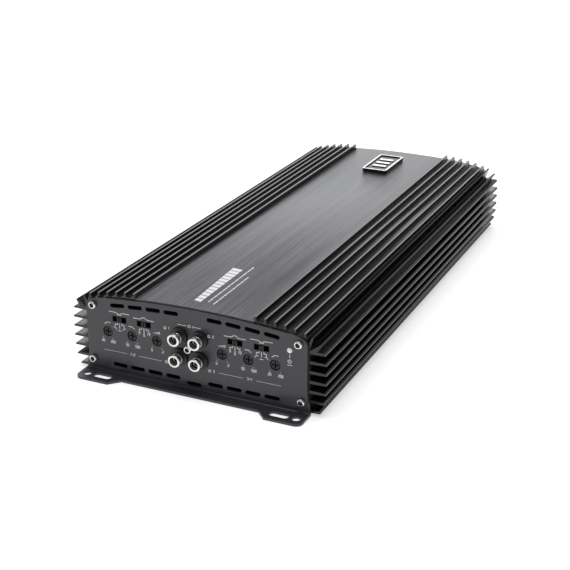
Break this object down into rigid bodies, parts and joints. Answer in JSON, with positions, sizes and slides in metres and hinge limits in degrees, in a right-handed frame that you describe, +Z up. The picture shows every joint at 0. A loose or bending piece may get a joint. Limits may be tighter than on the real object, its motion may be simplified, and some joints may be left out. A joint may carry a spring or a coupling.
{
  "type": "car amplifier",
  "caption": "Flat finned car audio amplifier: black heat sink extrusion, brushed top panel, end plates with foot flanges, level controls, slide switches, input sockets and wire terminals.",
  "frame": {"origin": "middle of the mounting plane, under the feet", "axes": "+Z up, Y along the case from the control end (-Y) to the terminal end (+Y), X across the case to the right seen from the control end"},
  "size_m": [0.1756, 0.406, 0.0587],
  "materials": {
    "black_anodised": "black anodised extrusion, satin",
    "brushed_panel": "gunmetal anodised, brushed lengthwise",
    "bright_metal": "polished chrome plate",
    "badge_black": "gloss black",
    "plate_paint": "dark grey satin powder coat on sheet steel",
    "bottom_paint": "black powder coat on sheet steel",
    "screw_nickel": "bright nickel plate",
    "board_green": "glass epoxy board with solder mask",
    "black_plastic": "moulded black plastic",
    "lamp_lens": "clear diffused lens",
    "contact_metal": "tin plated brass",
    "fuse_plastic": "translucent red plastic",
    "device_black": "moulded epoxy package with a tinned tab",
    "pad_grey": "grey silicone thermal pad",
    "zinc_steel": "zinc plated steel",
    "ferrite": "sintered ferrite",
    "copper_wire": "enamelled copper wire",
    "can_sleeve": "shrink sleeve on an aluminium can",
    "shaft_black": "moulded black nylon",
    "slider_black": "moulded black nylon"
  },
  "bodies": {
    "amplifier": {"heatsink_extrusion": "black_anodised", "top_panel": "brushed_panel", "badge_rim": "bright_metal", "badge_field": "badge_black", "badge_bars": "bright_metal", "front_end_plate": "plate_paint", "rear_end_plate": "plate_paint", "front_plate_screws": "screw_nickel", "rear_plate_screws": "screw_nickel", "bottom_plate": "bottom_paint", "bottom_plate_screws": "screw_nickel", "main_circuit_board": "board_green", "control_board": "board_green", "board_headers": "black_plastic", "driver_chips": "black_plastic", "status_lamp": "lamp_lens", "level_control_housings": "black_plastic", "switch_housings": "black_plastic", "input_socket_block": "black_plastic", "input_block_screw": "screw_nickel", "input_sleeves": "screw_nickel", "input_cores": "black_plastic", "input_contacts": "contact_metal", "speaker_terminal_block": "black_plastic", "speaker_terminal_clamps": "contact_metal", "speaker_terminal_screws": "screw_nickel", "supply_terminal_block": "black_plastic", "supply_terminal_clamps": "contact_metal", "supply_terminal_screws": "screw_nickel", "fuse_holder": "black_plastic", "fuse_bodies": "fuse_plastic", "fuse_blades": "contact_metal", "fuse_clips": "contact_metal", "supply_transistors": "device_black", "output_transistors": "device_black", "thermal_pads": "pad_grey", "clamp_bars": "zinc_steel", "clamp_screws": "zinc_steel", "transformer_core": "ferrite", "transformer_winding": "copper_wire", "supply_capacitors": "can_sleeve", "rail_capacitors": "can_sleeve", "output_chokes": "copper_wire"},
    "highpass_shaft_a": {"highpass_shaft_a": "shaft_black"},
    "lowpass_shaft_a": {"lowpass_shaft_a": "shaft_black"},
    "gain_shaft_a": {"gain_shaft_a": "shaft_black"},
    "gain_shaft_b": {"gain_shaft_b": "shaft_black"},
    "lowpass_shaft_b": {"lowpass_shaft_b": "shaft_black"},
    "highpass_shaft_b": {"highpass_shaft_b": "shaft_black"},
    "crossover_slider_a": {"crossover_slider_a": "slider_black"},
    "boost_slider_a": {"boost_slider_a": "slider_black"},
    "boost_slider_b": {"boost_slider_b": "slider_black"},
    "crossover_slider_b": {"crossover_slider_b": "slider_black"}
  },
  "joints": [
    {"name": "highpass_turn_a", "type": "hinge", "parent": "amplifier", "child": "highpass_shaft_a", "pos_m": [-0.0612, -0.187, 0.0295], "axis": [0, 1, 0], "range_deg": [-140, 140]},
    {"name": "lowpass_turn_a", "type": "hinge", "parent": "amplifier", "child": "lowpass_shaft_a", "pos_m": [-0.0434, -0.187, 0.0295], "axis": [0, 1, 0], "range_deg": [-140, 140]},
    {"name": "gain_turn_a", "type": "hinge", "parent": "amplifier", "child": "gain_shaft_a", "pos_m": [-0.0256, -0.187, 0.0295], "axis": [0, 1, 0], "range_deg": [-140, 140]},
    {"name": "gain_turn_b", "type": "hinge", "parent": "amplifier", "child": "gain_shaft_b", "pos_m": [0.0199, -0.187, 0.0295], "axis": [0, 1, 0], "range_deg": [-140, 140]},
    {"name": "lowpass_turn_b", "type": "hinge", "parent": "amplifier", "child": "lowpass_shaft_b", "pos_m": [0.0377, -0.187, 0.0295], "axis": [0, 1, 0], "range_deg": [-140, 140]},
    {"name": "highpass_turn_b", "type": "hinge", "parent": "amplifier", "child": "highpass_shaft_b", "pos_m": [0.0555, -0.187, 0.0295], "axis": [0, 1, 0], "range_deg": [-140, 140]},
    {"name": "crossover_slide_a", "type": "slide", "parent": "amplifier", "child": "crossover_slider_a", "axis": [1, 0, 0], "range_m": [-0.0023, 0.0023]},
    {"name": "boost_slide_a", "type": "slide", "parent": "amplifier", "child": "boost_slider_a", "axis": [1, 0, 0], "range_m": [-0.0023, 0.0023]},
    {"name": "boost_slide_b", "type": "slide", "parent": "amplifier", "child": "boost_slider_b", "axis": [1, 0, 0], "range_m": [-0.0023, 0.0023]},
    {"name": "crossover_slide_b", "type": "slide", "parent": "amplifier", "child": "crossover_slider_b", "axis": [1, 0, 0], "range_m": [-0.0023, 0.0023]}
  ]
}
